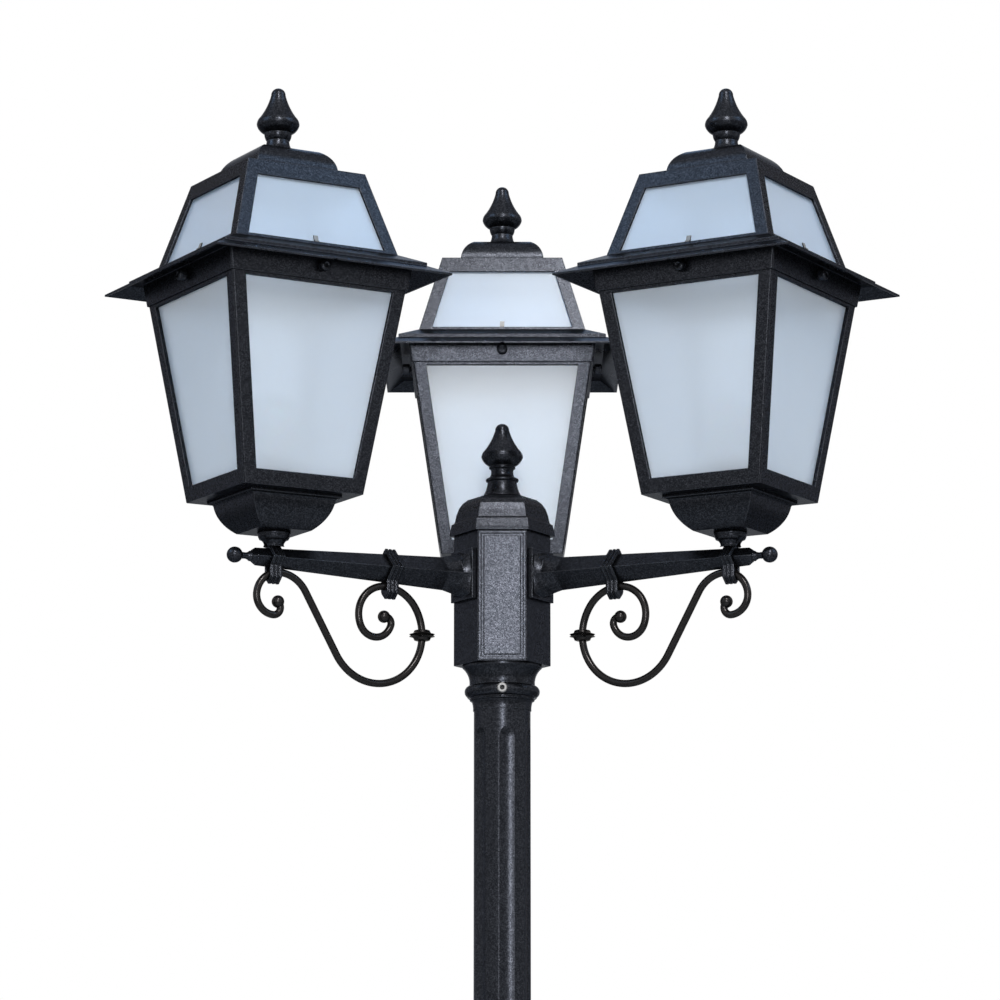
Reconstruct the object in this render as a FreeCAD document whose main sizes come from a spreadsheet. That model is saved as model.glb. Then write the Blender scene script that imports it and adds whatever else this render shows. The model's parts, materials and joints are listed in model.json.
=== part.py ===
# Triple head lamp post: a fluted post with three arms and three glazed lanterns.
# Millimetres. The origin is on the post's axis at ground level, +Z is up and -Y is the front.
# One lantern stands behind the post and the other two in front of it, to the left and right.
import FreeCAD, Part
import math
import os
import re
import Sketcher

Vector = FreeCAD.Vector
UP = Vector(0, 0, 1)
QUARTER = math.tan(math.radians(90) / 4)  # bulge of a quarter round
HALF_ROUND = 0.96                         # bulge of nearly a half round
BLUNT = 0.4                               # radius of the flat that ends a turned tip
REAR_FIRST = 90                           # turns what is modelled along +X to face the rear
SIDES = {"rear": 90, "left": 210, "right": 330}
THREE = len(SIDES)

# Driving sizes. Each belongs to one piece; what meets it is worked out from the same value.
SIZES = {
    # heights and reach of the whole
    "hub_lift": 2071.5,
    "arm_lift": 96.3,
    "arm_reach": 280.6,
    # clearances
    "push_fit": 0.05,
    "lift_gap": 0.4,
    # base casting
    "base_radius": 150,
    "base_flange": 14,
    "base_rim": 4,
    "plinth_radius": 112,
    "plinth_top": 34,
    "base_wall": 8,
    "bell_waist": 58,
    "bell_top": 142,
    "bead_width": 22,
    "neck_foot_radius": 48,
    "neck_radius": 43,
    "neck_ring": 50,
    "neck_ring_lift": 258,
    "neck_ring_height": 18,
    "base_height": 296,
    "anchor_circle": 133,
    "anchor_hole": 6.5,
    "anchor_count": 4,
    # fluted pole
    "pole_radius": 31,
    "pole_wall": 4,
    "pole_in_base": 110,
    "pole_in_collar": 38,
    "flute_count": 6,
    "flute_width": 17,
    "flute_depth": 2.6,
    "flute_top_gap": 20,
    "flute_foot_gap": 46,
    "flute_turn": -20.4,
    # collar under the hub
    "collar_height": 49.5,
    "collar_foot": 31.9,
    "collar_taper": 33.2,
    "collar_ring": 34.8,
    "collar_torus": 35.3,
    "collar_torus_lift": 14,
    "collar_torus_height": 13.5,
    "collar_waist": 35.8,
    "collar_top": 43.4,
    "collar_edge": 2.5,
    # set screws
    "set_screw_radius": 4,
    "set_screw_head": 5.8,
    "set_screw_head_height": 3.4,
    "set_screw_socket": 2.9,
    "set_screw_socket_depth": 2.4,
    "set_screw_bite": 2,
    # hub
    "hub_radius": 52.9,
    "hub_height": 143.5,
    "hub_wall": 5,
    "hub_floor": 6,
    "wire_way": 24,
    # blank panels on the hub
    "panel_gap": 0.8,
    "panel_foot": 1.2,
    "panel_thick": 3,
    "panel_sink": 2.5,
    "panel_ridge": 2.8,
    "panel_groove": 3,
    "panel_groove_depth": 2.2,
    # hub cap, finial and terminal block
    "cap_lip": 58,
    "cap_lip_height": 13,
    "cap_waist": 52.2,
    "cap_shoulder": 47.4,
    "cap_shoulder_lift": 31.5,
    "cap_crown": 25,
    "cap_height": 44.5,
    "cap_spigot": 6,
    "hub_finial_foot": 21.5,
    "hub_finial_ring": 17.4,
    "hub_finial_cone": 15.9,
    "hub_finial_neck": 12.3,
    "hub_finial_bead": 14,
    "hub_finial_widest": 23,
    "hub_finial_widest_lift": 44.3,
    "hub_finial_height": 82,
    "finial_stud": 4,
    "finial_stud_length": 10,
    "terminal_length": 42,
    "terminal_depth": 13,
    "terminal_height": 20,
    "terminal_lift": 40,
    "terminal_well": 3,
    # arm
    "flange_half_width": 23.4,
    "flange_half_height": 27.5,
    "flange_thick": 5.5,
    "flare_length": 24,
    "arm_root": 18.3,
    "arm_tip": 9.6,
    "arm_tail": 22.4,
    "arm_nose": 5,
    "arm_nose_half": 6.2,
    "arm_bolt_radius": 4,
    "arm_bolt_head": 7.5,
    "arm_bolt_head_height": 5,
    "arm_bolt_depth": 11,
    "arm_bolt_spread": 17,
    "knob_neck": 3.6,
    "knob_neck_length": 11,
    "knob_ball": 8.6,
    "knob_stud": 2.5,
    "knob_stud_length": 9,
    # scroll, its clamps and its ring
    "bar_radius": 4,
    "eye_radius": 6.8,
    "scroll_outer_gap": 6.6,
    "scroll_inner_gap": 6,
    "clamp_inner": 140,
    "clamp_width": 14,
    "clamp_wall": 2.8,
    "clamp_gap": 0.4,
    "clamp_rib": 1.4,
    "clamp_rib_width": 2.4,
    "clamp_rib_pitch": 4.6,
    "ring_rim": 13.9,
    "ring_height": 12,
    "ring_shoulder": 8.5,
    "ring_bore_gap": 0.45,
    # lantern stem and bowl
    "stem_foot_lift": 12.1,
    "stem_height": 15.5,
    "stem_neck": 10.6,
    "stem_ring": 17.4,
    "stem_stud": 4,
    "stem_stud_depth": 10,
    "nipple_radius": 5,
    "bowl_bottom": 29.5,
    "bowl_height": 36.5,
    "bowl_swell": 48.5,
    "bowl_lip": 53.6,
    "bowl_lip_height": 4,
    "bowl_wall": 3,
    # cage
    "cage_bottom": 70.6,
    "cage_shoulder": 103,
    "cage_height": 218.5,
    "cage_head": 3.2,
    "cage_rail": 101,
    "cage_rail_height": 16.5,
    "cage_wall": 4.4,
    "cage_floor": 4,
    "cage_post": 15,
    "cage_sill": 16,
    "corner_cut": 1.6,
    "glass_thick": 3,
    "glass_lap": 6,
    # lampholder and bulb
    "holder_foot": 24,
    "holder_flange": 4,
    "holder_radius": 20.5,
    "holder_height": 40,
    "holder_floor": 8,
    "holder_mouth": 17,
    "holder_mouth_depth": 8,
    "bulb_cap_radius": 13.2,
    "bulb_cap_height": 28,
    "bulb_contact": 5,
    "bulb_collar": 15,
    "bulb_radius": 30,
    "bulb_height": 98,
    # roof
    "collar_half": 104.7,
    "collar_wall": 3,
    "collar_depth": 24.5,
    "eave_half": 139,
    "eave_drop": 10,
    "eave_edge": 2,
    "eave_skin": 2.6,
    "eave_step": 119.3,
    "eave_step_height": 3.5,
    "roof_foot": 96.1,
    "roof_foot_lift": 40,
    "roof_top": 70,
    "roof_height": 131.6,
    "roof_wall": 3.4,
    "roof_ceiling": 4,
    "roof_bar": 14.2,
    "roof_sill": 3.2,
    "roof_head": 17.5,
    "clip_width": 5,
    "clip_height": 7.5,
    "clip_thick": 1.3,
    "thumb_screw_lift": 13.5,
    "thumb_screw_radius": 2.5,
    "thumb_screw_head": 6.2,
    "thumb_screw_head_length": 9,
    "roof_cap_half": 48.5,
    "roof_cap_skirt": 3,
    "roof_cap_top": 33,
    "roof_cap_height": 28.2,
    "roof_cap_wall": 3,
    "finial_foot": 19.5,
    "finial_neck": 12,
    "finial_waist": 14.9,
    "finial_widest": 23.2,
    "finial_widest_lift": 33.4,
    "finial_height": 74.6,
}

# The scroll's bar, from where it touches the arm near the lantern to where it touches it near
# the post: arcs as (radius, turn in degrees, left positive) and one straight run.
STRAIGHT = "straight"
SCROLL_SWEEP = [(36.5, 60), (STRAIGHT, 75), (56, -181), (44, -59)]
OUTER_CURL = [(26.5, -81), (20.5, -97), (8.2, -142)]
INNER_CURL = [(32, -111), (19.6, -143), (7, -120)]
RING_HEADING = 90  # the ring sits where the bar runs straight up

doc = FreeCAD.newDocument("TripleHeadLampPost")
sheet = doc.addObject("Spreadsheet::Sheet", "Sizes")
for row, (alias, number) in enumerate(SIZES.items(), start=1):
    sheet.set(f"A{row}", alias)
    sheet.set(f"B{row}", str(number))
    sheet.setAlias(f"B{row}", alias)
doc.recompute()

parts = []


def bind(expression):
    """An expression with each size pointing at its cell."""
    return re.sub(r"[a-z]\w*", lambda word: "Sizes." + word[0] if word[0] in SIZES else word[0],
                  str(expression))


def size(expression):
    """The number that an expression of sizes comes to."""
    return float(sheet.evalExpression(str(expression)))


def origin_part(body, role):
    """A plane or an axis of a body's own origin."""
    return next(item for item in body.Origin.OriginFeatures if item.Role == role)


def new_body(label, several=False):
    """An empty sub-part; several lets it hold more than one solid."""
    body = doc.addObject("PartDesign::Body", label)
    body.Label = label
    body.AllowCompound = several
    parts.append(body)
    return body


def place(body, along="0", lift="0", turn=0):
    """Stand a sub-part at a distance from the post's axis, turned about that axis."""
    angle = math.radians(turn)
    body.Placement = FreeCAD.Placement(Vector(0, 0, 0), FreeCAD.Rotation(UP, turn))
    body.setExpression("Placement.Base.x", bind(f"({along}) * {math.cos(angle):.9f}"))
    body.setExpression("Placement.Base.y", bind(f"({along}) * {math.sin(angle):.9f}"))
    body.setExpression("Placement.Base.z", bind(lift))


def arc_between(start, end, bulge):
    """The arc from start to end, left-turning for a positive bulge, as a left-turning curve."""
    chord = end - start
    across = Vector(-chord.y, chord.x, 0)
    centre = (start + end) * 0.5 + across * ((1 - bulge ** 2) / (4 * bulge))
    if bulge < 0:
        start, end = end, start
    from_angle = math.atan2(start.y - centre.y, start.x - centre.x)
    to_angle = math.atan2(end.y - centre.y, end.x - centre.x)
    if to_angle <= from_angle:
        to_angle += 2 * math.pi
    return Part.ArcOfCircle(Part.Circle(centre, UP, (start - centre).Length), from_angle, to_angle)


def draw(sketch, outline):
    """Add a closed outline of corners (across, up, bulge of the edge that follows), each bound."""
    first = sketch.GeometryCount
    count = len(outline)
    spots = [Vector(size(corner[0]), size(corner[1]), 0) for corner in outline]
    bulges = [corner[2] if len(corner) > 2 else 0 for corner in outline]
    rules = []
    formulas = []
    for index, bulge in enumerate(bulges):
        start, end = spots[index], spots[(index + 1) % count]
        edge = first + index
        following = first + (index + 1) % count
        starts = 2 if bulge < 0 else 1
        next_starts = 2 if bulges[(index + 1) % count] < 0 else 1
        shape = arc_between(start, end, bulge) if bulge else Part.LineSegment(start, end)
        sketch.addGeometry(shape, False)
        x0, y0 = outline[index][:2]
        x1, y1 = outline[(index + 1) % count][:2]
        rules.append(Sketcher.Constraint("Coincident", edge, 3 - starts, following, next_starts))
        formulas.append(None)
        rules.append(Sketcher.Constraint("DistanceX", -1, 1, edge, starts, start.x))
        formulas.append(x0)
        rules.append(Sketcher.Constraint("DistanceY", -1, 1, edge, starts, start.y))
        formulas.append(y0)
        if bulge:
            share = (1 + bulge ** 2) / (4 * abs(bulge))
            rules.append(Sketcher.Constraint("Radius", edge, shape.Radius))
            formulas.append(f"{share:.9f} * sqrt((({x1}) - ({x0}))^2 + (({y1}) - ({y0}))^2)")
    base = sketch.ConstraintCount
    sketch.addConstraint(rules)
    for index, formula in enumerate(formulas):
        if formula is not None:
            sketch.setExpression(f"Constraints[{base + index}]", bind(formula))


def draw_circle(sketch, across, up, radius):
    """Add a circle whose centre and radius are bound."""
    edge = sketch.GeometryCount
    base = sketch.ConstraintCount
    centre = Vector(size(across), size(up), 0)
    sketch.addGeometry(Part.Circle(centre, UP, size(radius)), False)
    sketch.addConstraint([
        Sketcher.Constraint("DistanceX", -1, 1, edge, 3, centre.x),
        Sketcher.Constraint("DistanceY", -1, 1, edge, 3, centre.y),
        Sketcher.Constraint("Radius", edge, size(radius))])
    for index, formula in enumerate((across, up, radius)):
        sketch.setExpression(f"Constraints[{base + index}]", bind(formula))


def new_sketch(body, plane, outlines=(), circles=(), out="0", right="0", up="0"):
    """A sketch on one of the body's planes, moved right and up in it, and out of it."""
    sketch = body.newObject("Sketcher::SketchObject", "Sketch")
    sketch.AttachmentSupport = [(origin_part(body, plane + "_Plane"), "")]
    sketch.MapMode = "FlatFace"
    sketch.AttachmentOffset = FreeCAD.Placement(
        Vector(size(right), size(up), size(out)), FreeCAD.Rotation())
    for axis, formula in zip("xyz", (right, up, out)):
        sketch.setExpression(f"AttachmentOffset.Base.{axis}", bind(formula))
    for outline in outlines:
        draw(sketch, outline)
    for circle in circles:
        draw_circle(sketch, *circle)
    return sketch


def pad(body, sketch, length, both_ways=False, reverse=False):
    """Add what the sketch sweeps along its normal."""
    feature = body.newObject("PartDesign::Pad", "Pad")
    feature.Profile = sketch
    feature.SideType = "Symmetric" if both_ways else "One side"
    feature.Reversed = reverse
    feature.setExpression("Length", bind(length))
    return feature


def pocket(body, sketch, length=None, both_ways=False, outward=False):
    """Cut what the sketch sweeps against its normal, or along it if outward; no length cuts all."""
    feature = body.newObject("PartDesign::Pocket", "Pocket")
    feature.Profile = sketch
    feature.SideType = "Symmetric" if both_ways else "One side"
    feature.Reversed = outward
    if length is None:
        feature.Type = "ThroughAll"
    else:
        feature.setExpression("Length", bind(length))
    return feature


def turned(body, outline, plane="XZ", axis="V_Axis", cut=False, **where):
    """Turn an outline about an axis of its sketch."""
    sketch = new_sketch(body, plane, [outline], **where)
    feature = body.newObject("PartDesign::Groove" if cut else "PartDesign::Revolution", "Turned")
    feature.Profile = sketch
    feature.ReferenceAxis = (sketch, [axis])
    feature.Angle = 360
    return feature


def loft(body, sections, plane="XY", cut=False):
    """Join outlines at rising distances (distance, outline) by straight sides."""
    sketches = [new_sketch(body, plane, [outline], out=out) for out, outline in sections]
    kind = "PartDesign::SubtractiveLoft" if cut else "PartDesign::AdditiveLoft"
    feature = body.newObject(kind, "Loft")
    feature.Profile = sketches[0]
    feature.Sections = sketches[1:]
    feature.Ruled = True
    return feature


def around(body, features, count):
    """Repeat features, or with None all that the body holds, evenly round its upright axis."""
    so_far = body.Tip
    pattern = body.newObject("PartDesign::PolarPattern", "Around")
    if features is None:
        pattern.BaseFeature = so_far
        pattern.TransformMode = "Whole shape"
    else:
        pattern.Originals = features
    pattern.Axis = (origin_part(body, "Z_Axis"), [""])
    pattern.Angle = 360
    if count in SIZES:
        pattern.setExpression("Occurrences", bind(count))
    else:
        pattern.Occurrences = count
    body.Tip = pattern
    return pattern


def minus(expression):
    return f"-({expression})"


def box_outline(low_x, low_y, high_x, high_y):
    """A rectangle."""
    return [(low_x, low_y), (high_x, low_y), (high_x, high_y), (low_x, high_y)]


def square(half, cut=None):
    """A square about the axis, its corners cut off by a small flat."""
    if cut is None:
        return box_outline(minus(half), minus(half), half, half)
    short = f"({half}) - ({cut})"
    return [(half, minus(short)), (half, short), (short, half), (minus(short), half),
            (minus(half), short), (minus(half), minus(short)),
            (minus(short), minus(half)), (short, minus(half))]


def hexagon(radius):
    """A hexagon about the axis with a flat towards +X, by its corner radius."""
    turns = [math.radians(30 + 60 * step) for step in range(6)]
    return [(f"({radius}) * {math.cos(turn):.9f}", f"({radius}) * {math.sin(turn):.9f}")
            for turn in turns]


def mirrored(right_half):
    """A closed outline from its right half, listed upwards."""
    left_half = []
    for index in range(len(right_half) - 1, -1, -1):
        across, up = right_half[index][:2]
        before = right_half[index - 1] if index else (0, 0)
        bulge = before[2] if len(before) > 2 else 0
        left_half.append((minus(across), up, bulge))
    return right_half + left_half


def on_each_arm(make, name, along="0", lift="0"):
    """Model a piece once and stand it, or a copy of it, on each of the three sides."""
    model = None
    for side, turn in SIDES.items():
        label = f"{side}_{name}"
        if model is None:
            body = model = make(label)
        else:
            body = new_body(label, several=model.AllowCompound)
            copy = body.newObject("PartDesign::FeatureBase", "Copy")
            copy.BaseFeature = model
            body.Tip = copy
        place(body, along, lift, turn)


# Heights and places that several pieces share.
HUB_APOTHEM = "hub_radius * 0.866025404"
FLANGE_FACE = f"{HUB_APOTHEM} + flange_thick"
FLARE_END = f"({FLANGE_FACE}) + flare_length"
ARM_END = "arm_reach + arm_tail"
SCROLL_OUTER = "arm_reach - scroll_outer_gap"
SCROLL_INNER = "clamp_inner + scroll_inner_gap"
ARM_AXIS = "hub_lift + arm_lift"
STEM_LIFT = f"{ARM_AXIS} + stem_foot_lift"
BOWL_LIFT = f"{STEM_LIFT} + stem_height"
CAGE_LIFT = f"{BOWL_LIFT} + bowl_height"
HOLDER_LIFT = f"{CAGE_LIFT} + cage_floor"
BULB_LIFT = f"{HOLDER_LIFT} + holder_floor + lift_gap"
ROOF_LIFT = f"{CAGE_LIFT} + cage_height"
ROOF_CAP_LIFT = f"{ROOF_LIFT} + roof_height"
FINIAL_LIFT = f"{ROOF_CAP_LIFT} + roof_cap_height"
PANEL_HALF = "hub_radius / 2 - panel_gap"
PANEL_TOP = "hub_height - panel_gap"
BASE_SCREW_SEAT = "neck_ring + 0.207 * neck_ring_height - set_screw_bite"
COLLAR_SCREW_LIFT = "collar_torus_lift + collar_torus_height / 2"
COLLAR_SCREW_SEAT = "collar_torus + 0.43 * collar_torus_height - set_screw_bite"
POLE_BORE = "pole_radius - pole_wall"
POLE_SOCKET = "pole_radius + push_fit"


def arm_half(along):
    """Half the arm's height at a distance from the post's axis."""
    run = f"(({along}) - ({FLARE_END})) / ({ARM_END} - ({FLARE_END}))"
    return f"arm_root - (arm_root - arm_tip) * {run}"


def finial_head(waist, waist_lift, widest, widest_lift, height):
    """The acorn of a finial: round underside and shoulder, hollow flank, blunt round tip."""
    length = f"({height}) - ({widest_lift})"
    tip = f"({widest}) * 0.34"
    return [(waist, waist_lift, 0.23),
            (widest, widest_lift, 0.2),
            (f"({widest}) * 0.86", f"({widest_lift}) + 0.19 * ({length})", -0.1),
            (tip, f"({height}) - {tip}", QUARTER),
            (BLUNT, height),
            (0, height)]


def set_screw_holes(body, lift, seat, outward):
    """Three radial holes for the set screws, each with a flat seat sunk for the head."""
    hole = new_sketch(body, "YZ", circles=[(0, lift, "set_screw_radius + push_fit")])
    side = "" if outward else "-"
    spot = new_sketch(body, "YZ", circles=[(0, lift, "set_screw_head + push_fit")],
                      out=f"{side}({seat})")
    return around(body, [pocket(body, hole, outward=outward),
                         pocket(body, spot, outward=outward)], THREE)


def make_base():
    """The cast foot: flange, plinth, bell, bead and neck, hollow underneath."""
    body = new_body("base_casting")
    ring_foot = "neck_ring_lift"
    ring_top = "neck_ring_lift + neck_ring_height"
    seat = "base_height - pole_in_base"
    bead_top = "bell_top + bead_width"
    turned(body, [
        ("plinth_radius - base_wall", 0),
        ("base_radius", 0),
        ("base_radius", "base_flange - base_rim", QUARTER),
        ("base_radius - base_rim", "base_flange"),
        ("plinth_radius", "base_flange"),
        ("plinth_radius", "plinth_top - base_wall", QUARTER),
        ("plinth_radius - base_wall", "plinth_top"),
        ("plinth_radius - base_wall - base_rim", "plinth_top", -0.3),
        ("bell_waist", "bell_top"),
        ("bell_waist + 3", "bell_top", 0.7),
        ("bell_waist + 3", bead_top),
        ("neck_foot_radius + 3", bead_top),
        ("neck_foot_radius + 3", f"{bead_top} + 5", -QUARTER),
        ("neck_foot_radius", f"{bead_top} + 10"),
        ("neck_radius", ring_foot),
        ("neck_ring", ring_foot, QUARTER),
        ("neck_ring", ring_top, QUARTER),
        ("neck_radius", ring_top),
        ("pole_radius + 4", "base_height"),
        (POLE_SOCKET, "base_height"),
        (POLE_SOCKET, seat),
        (POLE_BORE, seat),
        (POLE_BORE, f"{seat} - base_wall"),
        ("bell_waist - base_wall", "bell_top", 0.3),
        ("plinth_radius - 2 * base_wall - base_rim", "plinth_top - base_wall"),
        ("plinth_radius - base_wall", "plinth_top - 2 * base_wall"),
    ])
    anchors = new_sketch(body, "XY", circles=[("anchor_circle * 0.707106781",
                                               "anchor_circle * 0.707106781", "anchor_hole")])
    around(body, [pocket(body, anchors, outward=True)], "anchor_count")
    set_screw_holes(body, f"{ring_foot} + neck_ring_height / 2", BASE_SCREW_SEAT, outward=False)
    place(body, turn=REAR_FIRST)


def make_pole():
    """The tube with its round-ended flutes."""
    body = new_body("pole_shaft")
    foot = "base_height - pole_in_base"
    top = "hub_lift - collar_height + pole_in_collar"
    tube = new_sketch(body, "XY", circles=[(0, 0, "pole_radius"), (0, 0, POLE_BORE)])
    pad(body, tube, f"{top} - ({foot})")
    # Each flute is the mark of a round-ended rod laid along the pole, partly sunk in it.
    half = "flute_width / 2"
    sink = f"(flute_depth - pole_radius + sqrt(pole_radius^2 - ({half})^2))"
    rod = f"((({half})^2 + {sink}^2) / (2 * {sink}))"
    nose = f"({rod} - sqrt({rod}^2 - ({rod} - flute_depth)^2))"
    high = f"hub_lift - collar_height - flute_top_gap - ({foot}) + {nose}"
    low = f"pole_in_base + flute_foot_gap - {nose}"
    flute = turned(body, [
        (0, low, QUARTER),
        (rod, f"{low} + {rod}"),
        (rod, f"{high} - {rod}", QUARTER),
        (0, high),
    ], cut=True, right=f"pole_radius - flute_depth + {rod}")
    around(body, [flute], "flute_count")
    place(body, lift=foot, turn=0)
    body.setExpression("Placement.Rotation.Angle", bind("flute_turn"))


def make_collar():
    """The turned socket between the pole and the hub."""
    body = new_body("pole_collar")
    torus_top = "collar_torus_lift + collar_torus_height"
    turned(body, [
        (POLE_SOCKET, 0),
        ("collar_foot", 0, -0.1),
        ("collar_taper", "collar_torus_lift * 0.71"),
        ("collar_ring", "collar_torus_lift * 0.76", 0.6),
        ("collar_ring", "collar_torus_lift * 0.94"),
        ("collar_torus", "collar_torus_lift", 0.86),
        ("collar_torus", torus_top),
        ("collar_waist", f"{torus_top} + 1", -0.24),
        ("collar_top", "collar_height - collar_edge"),
        ("collar_top", "collar_height"),
        (POLE_BORE, "collar_height"),
        (POLE_BORE, "pole_in_collar"),
        (POLE_SOCKET, "pole_in_collar"),
    ])
    set_screw_holes(body, COLLAR_SCREW_LIFT, COLLAR_SCREW_SEAT, outward=True)
    place(body, lift="hub_lift - collar_height", turn=REAR_FIRST + 60)


def set_screw(body, lift, seat):
    """One set screw along +X: from the pole out to its domed, socketed head."""
    head_top = f"{seat} + set_screw_head_height"
    turned(body, [
        ("pole_radius", 0),
        (head_top, 0),
        (head_top, "set_screw_head - 1.6", QUARTER),
        (f"{head_top} - 1.6", "set_screw_head"),
        (seat, "set_screw_head"),
        (seat, "set_screw_radius"),
        ("pole_radius", "set_screw_radius"),
    ], axis="H_Axis", up=lift)
    socket = new_sketch(body, "YZ", [hexagon("set_screw_socket")], out=head_top, up=lift)
    pocket(body, socket, "set_screw_socket_depth")


def make_set_screws():
    """Three screws in the collar and three in the base hold the pole."""
    body = new_body("set_screws", several=True)
    in_base = "neck_ring_lift + neck_ring_height / 2"
    in_collar = f"hub_lift - collar_height + {COLLAR_SCREW_LIFT}"
    set_screw(body, in_base, BASE_SCREW_SEAT)
    set_screw(body, in_collar, COLLAR_SCREW_SEAT)
    around(body, None, THREE)
    place(body, turn=REAR_FIRST + 60)


def make_hub():
    """The hollow hexagonal box that the arms are bolted to."""
    body = new_body("hub_body")
    inner = "hub_radius - hub_wall * 1.154700538"
    pad(body, new_sketch(body, "XY", [hexagon("hub_radius")]), "hub_height")
    hollow = new_sketch(body, "XY", [hexagon(inner)], out="hub_floor")
    pocket(body, hollow, "hub_height", outward=True)
    wire_hole = new_sketch(body, "XY", circles=[(0, 0, "wire_way")])
    pocket(body, wire_hole, "hub_floor", outward=True)
    radius = "arm_bolt_radius + push_fit"
    holes = new_sketch(body, "YZ", circles=[(0, "arm_lift - arm_bolt_spread", radius),
                                            (0, "arm_lift + arm_bolt_spread", radius)])
    bolted = pocket(body, holes, outward=True)
    half, top = PANEL_HALF, PANEL_TOP
    seat = box_outline(f"-({half}) - push_fit", "panel_foot - push_fit",
                       f"{half} + push_fit", f"{top} + push_fit")
    recess = new_sketch(body, "YZ", [seat], out=f"panel_sink - ({HUB_APOTHEM})")
    around(body, [bolted, pocket(body, recess)], THREE)
    place(body, lift="hub_lift", turn=REAR_FIRST)


def make_panels():
    """A framed blank panel let into each face of the hub that has no arm."""
    body = new_body("hub_panels", several=True)
    half, top = PANEL_HALF, PANEL_TOP
    back = f"{HUB_APOTHEM} - panel_sink"
    plate = new_sketch(body, "YZ", [box_outline(minus(half), "panel_foot", half, top)],
                       out=back)
    face = f"{back} + panel_thick"
    inset = [("panel_ridge", half), ("panel_ridge + panel_groove", half)]
    loops = [box_outline(f"({edge}) - ({wide})", f"panel_foot + {edge}",
                         f"({wide}) - ({edge})", f"{top} - ({edge})") for edge, wide in inset]
    groove = new_sketch(body, "YZ", loops, out=face)
    pad(body, plate, "panel_thick")
    pocket(body, groove, "panel_groove_depth")
    around(body, None, THREE)
    place(body, lift="hub_lift", turn=REAR_FIRST + 60)


def make_hub_cap():
    """The domed hexagonal lid, with a spigot inside the hub."""
    body = new_body("hub_cap")
    crown = "cap_height - cap_shoulder_lift"
    rise = "cap_shoulder - cap_crown"
    loft(body, [
        (0, hexagon("cap_lip")),
        ("cap_lip_height * 0.3", hexagon("cap_lip - 0.4")),
        ("cap_lip_height", hexagon("cap_lip - 2.4")),
        ("cap_lip_height + 1", hexagon("cap_waist + 1.2")),
        ("cap_lip_height + 2.5", hexagon("cap_waist")),
        ("cap_shoulder_lift - 7.5", hexagon("cap_shoulder + 2.9")),
        ("cap_shoulder_lift", hexagon("cap_shoulder")),
        (f"cap_shoulder_lift + 0.4 * ({crown})", hexagon(f"cap_shoulder - 0.17 * ({rise})")),
        (f"cap_shoulder_lift + 0.72 * ({crown})", hexagon(f"cap_shoulder - 0.42 * ({rise})")),
        ("cap_height", hexagon("cap_crown")),
    ])
    spigot = new_sketch(body, "XY", [hexagon("hub_radius - hub_wall * 1.154700538 - panel_gap")])
    pad(body, spigot, "cap_spigot", reverse=True)
    hollow = new_sketch(body, "XY", [hexagon("hub_radius - hub_wall * 2.3")], out="-cap_spigot")
    pocket(body, hollow, "cap_spigot + cap_lip_height", outward=True)
    stud_hole = new_sketch(body, "XY", circles=[(0, 0, "finial_stud + push_fit")],
                           out="cap_height - finial_stud_length")
    pocket(body, stud_hole, outward=True)
    place(body, lift="hub_lift + hub_height", turn=REAR_FIRST)


def make_hub_finial():
    """The larger finial on the hub cap."""
    body = new_body("hub_finial")
    ring = "hub_finial_cone"
    neck = "hub_finial_neck"
    bead = "hub_finial_widest_lift - 13.8"
    turned(body, [
        (0, "-finial_stud_length"),
        ("finial_stud", "-finial_stud_length"),
        ("finial_stud", 0),
        ("hub_finial_foot", 0, -0.12),
        ("hub_finial_ring - 1.3", ring),
        ("hub_finial_ring", f"{ring} + 0.8", 0.5),
        ("hub_finial_ring", f"{ring} + 4"),
        (f"{neck} + 2.4", f"{ring} + 5.4", -0.25),
        (neck, f"{bead} - 3.4", -0.2),
        ("hub_finial_bead - 1.2", bead),
        ("hub_finial_bead", f"{bead} + 0.6", 0.5),
        ("hub_finial_bead", f"{bead} + 3"),
    ] + finial_head("hub_finial_bead - 0.6", f"{bead} + 3.4", "hub_finial_widest",
                    "hub_finial_widest_lift", "hub_finial_height"))
    place(body, lift="hub_lift + hub_height + cap_height")


def make_terminal_block():
    """The three-way connector on the inner face behind the front panel."""
    body = new_body("terminal_block")
    half = "terminal_length / 2"
    face = f"{HUB_APOTHEM} - hub_wall"
    block = new_sketch(body, "YZ", [box_outline(minus(half), 0, half, "terminal_height")],
                       out=f"{face} - terminal_depth")
    pad(body, block, "terminal_depth")
    wells = [(f"terminal_length * {share}", "terminal_height / 2", "terminal_well")
             for share in (-0.3, 0, 0.3)]
    pocket(body, new_sketch(body, "YZ", circles=wells, out=f"{face} - terminal_depth"),
           "terminal_depth / 2", outward=True)
    place(body, lift="hub_lift + terminal_lift", turn=REAR_FIRST + 180)


def make_arm_bolts():
    """Two hexagon bolts per arm, put in from inside the hub."""
    body = new_body("arm_bolts", several=True)
    seat = f"{HUB_APOTHEM} - hub_wall"
    for side in ("-", "+"):
        lift = f"arm_lift {side} arm_bolt_spread"
        head = new_sketch(body, "YZ", [hexagon("arm_bolt_head")], up=lift,
                          out=f"{seat} - arm_bolt_head_height")
        pad(body, head, "arm_bolt_head_height")
        shank = new_sketch(body, "YZ", circles=[(0, 0, "arm_bolt_radius")], up=lift, out=seat)
        pad(body, shank, "hub_wall + arm_bolt_depth")
    around(body, None, THREE)
    place(body, lift="hub_lift", turn=REAR_FIRST)


def flared(half_width, half_height, corner):
    """An eight-cornered section between a diamond (corner 0.5) and a rectangle (corner 1)."""
    x, y = f"({half_width}) * {corner}", f"({half_height}) * {corner}"
    return [(half_width, 0), (x, y), (0, half_height), (minus(x), y), (minus(half_width), 0),
            (minus(x), minus(y)), (0, minus(half_height)), (x, minus(y))]


def diamond(half):
    """A square stood on its corner."""
    return [(half, 0), (0, half), (minus(half), 0), (0, minus(half))]


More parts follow.
